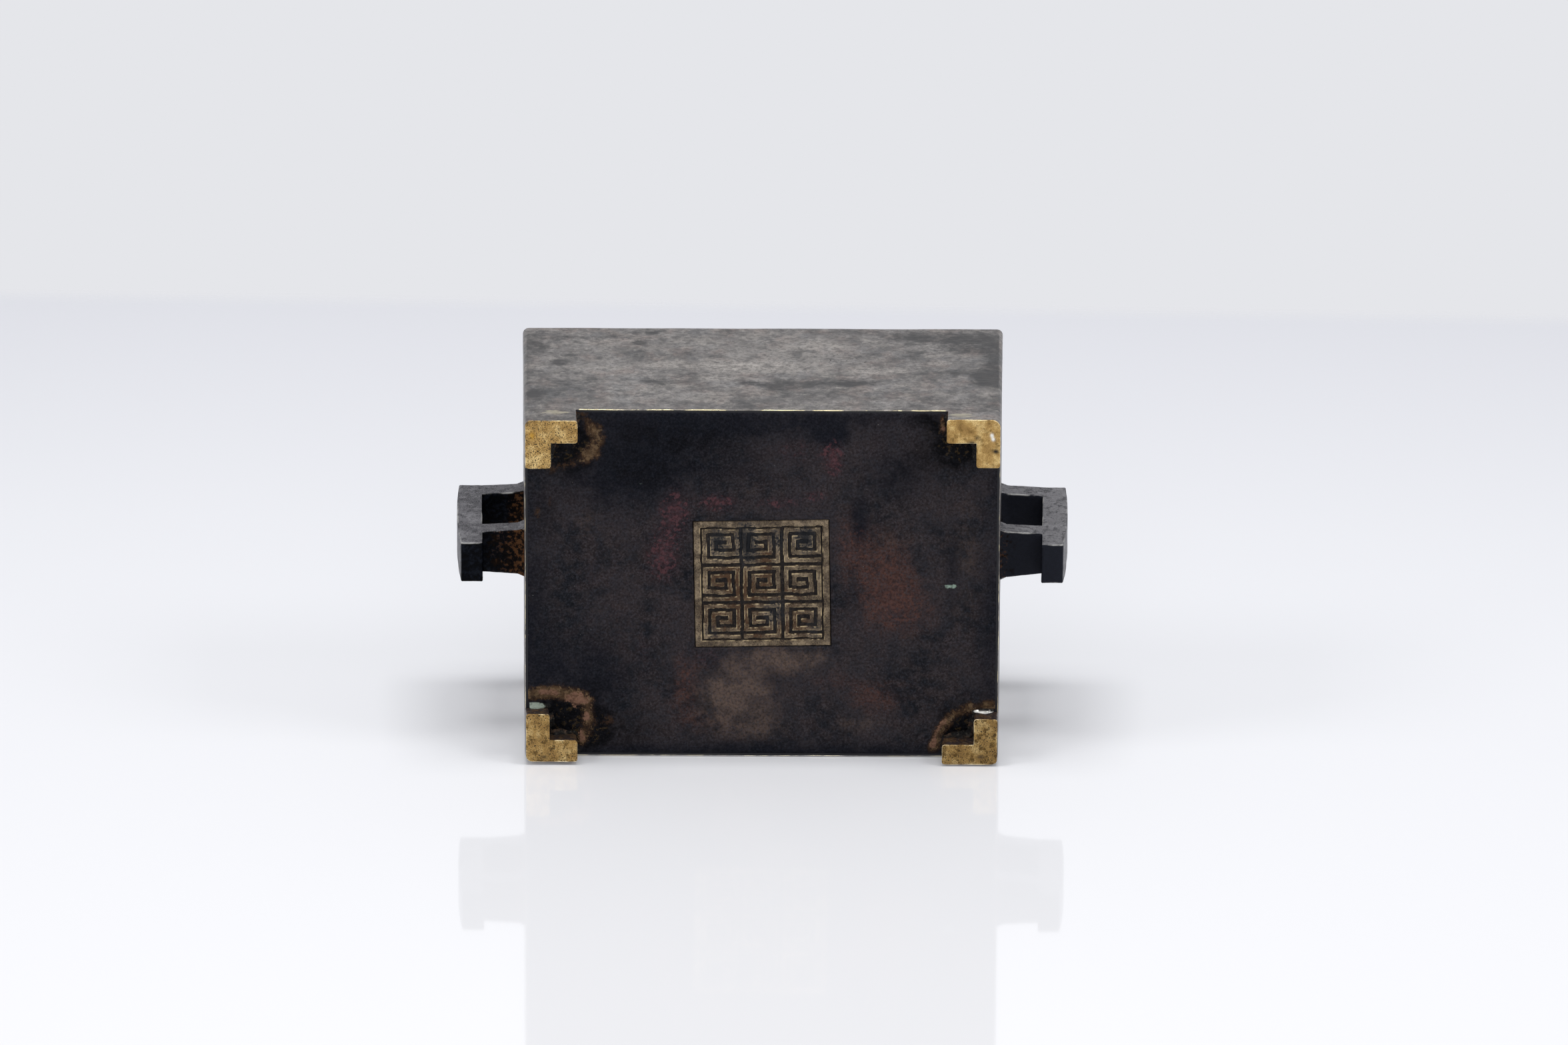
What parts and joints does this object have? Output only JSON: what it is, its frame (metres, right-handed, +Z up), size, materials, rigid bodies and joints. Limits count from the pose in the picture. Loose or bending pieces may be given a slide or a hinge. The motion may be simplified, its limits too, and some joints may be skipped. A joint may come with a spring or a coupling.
{
  "type": "rectangular incense burner",
  "caption": "Rectangular bronze censer with flared walls, upright bar handles on its ends and L-section corner feet, open at the top.",
  "frame": {"origin": "on the plane of the soles, under the middle of the vessel", "axes": "+Z up, X from handle to handle, Y from the front wall to the back wall"},
  "size_m": [0.1556, 0.097, 0.0605],
  "materials": {
    "patinated_bronze_walls": "satin grey-brown patina with fine streaks",
    "patinated_bronze_base": "dark brown-black patina, mottled",
    "bare_bronze_feet": "worn bare on the soles, dark patina on the sides",
    "patinated_bronze_handles": "blue-black patina with satin grey side faces",
    "rubbed_bronze_panel": "rubbed tan relief over dark grounds",
    "soft_solder": "crusty brown solder with silver glints"
  },
  "bodies": {
    "root": {"vessel_walls": "patinated_bronze_walls", "base_plate": "patinated_bronze_base", "base_seam_solder": "soft_solder", "foot_front_left": "bare_bronze_feet", "foot_front_right": "bare_bronze_feet", "foot_back_left": "bare_bronze_feet", "foot_back_right": "bare_bronze_feet", "foot_solder_front_left": "soft_solder", "foot_solder_front_right": "soft_solder", "foot_solder_back_left": "soft_solder", "foot_solder_back_right": "soft_solder", "handle_left": "patinated_bronze_handles", "handle_right": "patinated_bronze_handles", "base_panel": "rubbed_bronze_panel"}
  },
  "joints": []
}
